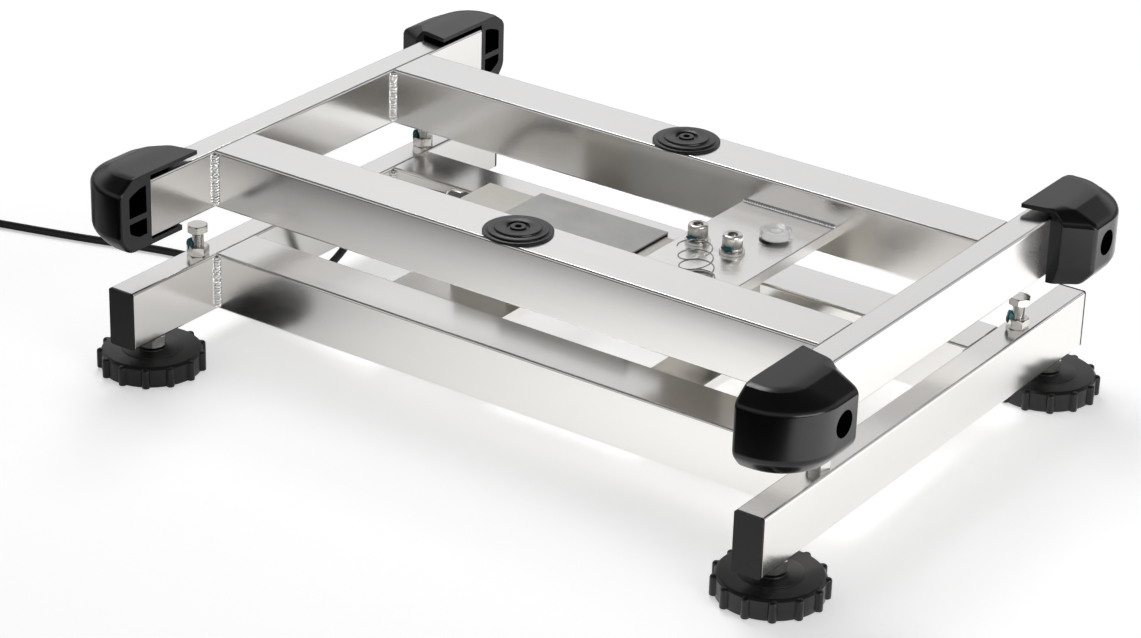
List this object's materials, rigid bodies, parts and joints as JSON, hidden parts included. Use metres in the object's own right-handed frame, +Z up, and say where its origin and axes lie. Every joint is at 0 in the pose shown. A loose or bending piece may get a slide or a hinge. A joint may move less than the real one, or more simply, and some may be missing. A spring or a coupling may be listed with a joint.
{
  "type": "platform scale",
  "caption": "Bench scale base: two stainless tube frames joined by a load cell, with corner bumpers, levelling feet, a bubble level and a cable.",
  "frame": {"origin": "on the floor under the middle of the frames", "axes": "+X along the long rails towards the cell's free end, +Y to the back, +Z up"},
  "size_m": [0.8375, 0.41, 0.1445],
  "materials": {
    "tube_steel": "satin drawn stainless tube",
    "plate_steel": "satin stainless plate",
    "weld_bead": "bright rippled weld",
    "screw_steel": "bright stainless fasteners",
    "moulded_black": "moulded black plastic, fine grain",
    "knob_black": "moulded black plastic, dull",
    "pad_rubber": "smooth black rubber",
    "sole_rubber": "dark grey rubber",
    "cell_aluminium": "machined aluminium",
    "cover_grey": "grey painted sheet",
    "seal_black": "soft black foam rubber",
    "level_clear": "clear acrylic",
    "level_fluid": "clear liquid",
    "level_air": "air bubble",
    "spring_steel": "bright spring wire",
    "gland_nickel": "nickel plated brass",
    "cable_jacket": "black cable jacket",
    "tie_black": "black strap tie",
    "plug_metal": "plated plug shell"
  },
  "bodies": {
    "base": {"base_rail_front": "tube_steel", "base_rail_back": "tube_steel", "base_rail_left": "tube_steel", "base_rail_right": "tube_steel", "base_frame_welds": "weld_bead", "rail_end_caps": "moulded_black", "foot_weld_nuts": "screw_steel", "stop_screws": "screw_steel", "stop_screw_nuts": "screw_steel", "base_plate": "plate_steel", "base_spacer": "cell_aluminium", "base_screws": "screw_steel", "base_flat_washers": "screw_steel", "overload_stop_bar": "plate_steel", "overload_stop_screw": "screw_steel", "overload_stop_nut": "screw_steel", "load_cell": "cell_aluminium", "cell_cover": "cover_grey", "cell_cover_seals": "seal_black", "gland_body": "gland_nickel", "gland_nut": "gland_nickel", "cable": "cable_jacket", "cable_coil": "cable_jacket", "cable_tail": "cable_jacket", "coil_tie": "tie_black", "connector_shell": "plug_metal", "connector_insert": "moulded_black"},
    "platform": {"load_rail_front": "tube_steel", "load_rail_back": "tube_steel", "load_rail_left": "tube_steel", "load_rail_right": "tube_steel", "load_frame_welds": "weld_bead", "load_plate": "plate_steel", "load_spacer": "cell_aluminium", "load_screws": "screw_steel", "load_flat_washers": "screw_steel", "load_spring_washers": "screw_steel", "level_housing": "level_clear", "level_liquid": "level_fluid", "level_bubble": "level_air", "earthing_spring": "spring_steel", "pad_front": "pad_rubber", "pad_back": "pad_rubber", "bumper_right_front": "moulded_black", "bumper_right_back": "moulded_black", "bumper_left_front": "moulded_black", "bumper_left_back": "moulded_black", "bumper_screws": "screw_steel"},
    "sole_left_front": {"foot_sole_left_front": "sole_rubber"},
    "knob_left_front": {"foot_knob_left_front": "knob_black", "foot_stud_left_front": "screw_steel"},
    "sole_right_front": {"foot_sole_right_front": "sole_rubber"},
    "knob_right_front": {"foot_knob_right_front": "knob_black", "foot_stud_right_front": "screw_steel"},
    "sole_left_back": {"foot_sole_left_back": "sole_rubber"},
    "knob_left_back": {"foot_knob_left_back": "knob_black", "foot_stud_left_back": "screw_steel"},
    "sole_right_back": {"foot_sole_right_back": "sole_rubber"},
    "knob_right_back": {"foot_knob_right_back": "knob_black", "foot_stud_right_back": "screw_steel"}
  },
  "joints": [
    {"name": "platform_travel", "type": "slide", "parent": "base", "child": "platform", "axis": [0, 0, -1], "range_m": [0, 0.0005], "stiffness_N_per_m": 1000000, "springref_m": -0.00004, "deforming": ["load_cell"]},
    {"name": "foot_height_left_front", "type": "slide", "parent": "base", "child": "sole_left_front", "axis": [0, 0, -1], "range_m": [0, 0.0101]},
    {"name": "foot_turn_left_front", "type": "hinge", "parent": "sole_left_front", "child": "knob_left_front", "pos_m": [-0.24, -0.1683, 0.01], "axis": [0, 0, -1], "range_deg": [0, 2400]},
    {"name": "foot_height_right_front", "type": "slide", "parent": "base", "child": "sole_right_front", "axis": [0, 0, -1], "range_m": [0, 0.0101]},
    {"name": "foot_turn_right_front", "type": "hinge", "parent": "sole_right_front", "child": "knob_right_front", "pos_m": [0.24, -0.1683, 0.01], "axis": [0, 0, -1], "range_deg": [0, 2400]},
    {"name": "foot_height_left_back", "type": "slide", "parent": "base", "child": "sole_left_back", "axis": [0, 0, -1], "range_m": [0, 0.0101]},
    {"name": "foot_turn_left_back", "type": "hinge", "parent": "sole_left_back", "child": "knob_left_back", "pos_m": [-0.24, 0.1683, 0.01], "axis": [0, 0, -1], "range_deg": [0, 2400]},
    {"name": "foot_height_right_back", "type": "slide", "parent": "base", "child": "sole_right_back", "axis": [0, 0, -1], "range_m": [0, 0.0101]},
    {"name": "foot_turn_right_back", "type": "hinge", "parent": "sole_right_back", "child": "knob_right_back", "pos_m": [0.24, 0.1683, 0.01], "axis": [0, 0, -1], "range_deg": [0, 2400]}
  ],
  "couplings": [
    {"joint": "foot_height_left_front", "follows": "foot_turn_left_front", "m_per_rad": 0.00023873},
    {"joint": "foot_height_right_front", "follows": "foot_turn_right_front", "m_per_rad": 0.00023873},
    {"joint": "foot_height_left_back", "follows": "foot_turn_left_back", "m_per_rad": 0.00023873},
    {"joint": "foot_height_right_back", "follows": "foot_turn_right_back", "m_per_rad": 0.00023873}
  ]
}
